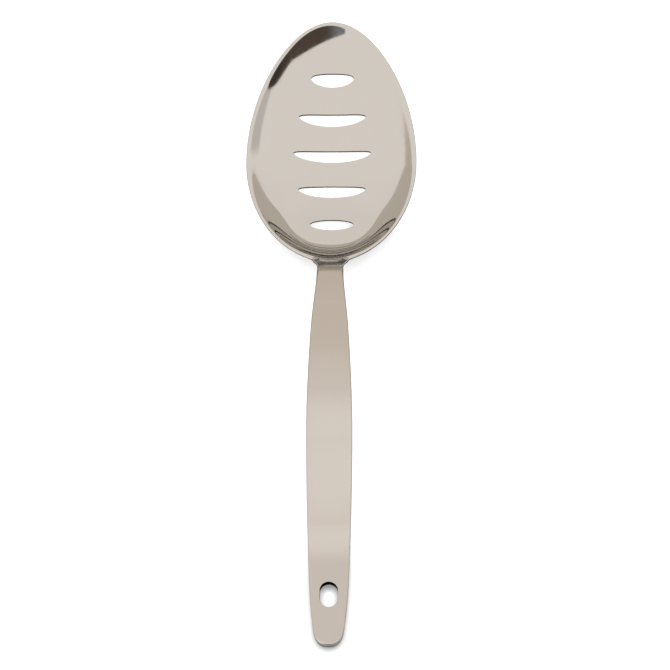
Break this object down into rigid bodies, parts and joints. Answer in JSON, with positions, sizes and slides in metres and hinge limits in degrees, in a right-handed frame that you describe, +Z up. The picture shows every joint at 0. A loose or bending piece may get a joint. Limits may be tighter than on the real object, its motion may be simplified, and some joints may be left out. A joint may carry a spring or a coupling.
{
  "type": "slotted serving spoon",
  "caption": "Slotted serving spoon with an egg-shaped, pierced steel bowl and a flat, hollow steel handle with a hanging hole.",
  "frame": {"origin": "on the table plane that the spoon lies on, at the middle of the spoon's length and width", "axes": "+Y runs along the spoon from the handle's end to the bowl's tip, +Z is up out of the bowl's hollow, +X is to the right when looking along +Y"},
  "size_m": [0.0836, 0.3202, 0.0314],
  "materials": {
    "polished_steel": "bright polished, with fine wear scratches",
    "satin_steel": "soft satin polish",
    "plain_steel": "plain mill finish"
  },
  "bodies": {
    "root": {"bowl": "polished_steel", "tang": "plain_steel", "handle_top_shell": "satin_steel", "handle_bottom_shell": "satin_steel", "hanging_hole_sleeve": "satin_steel"}
  },
  "joints": []
}
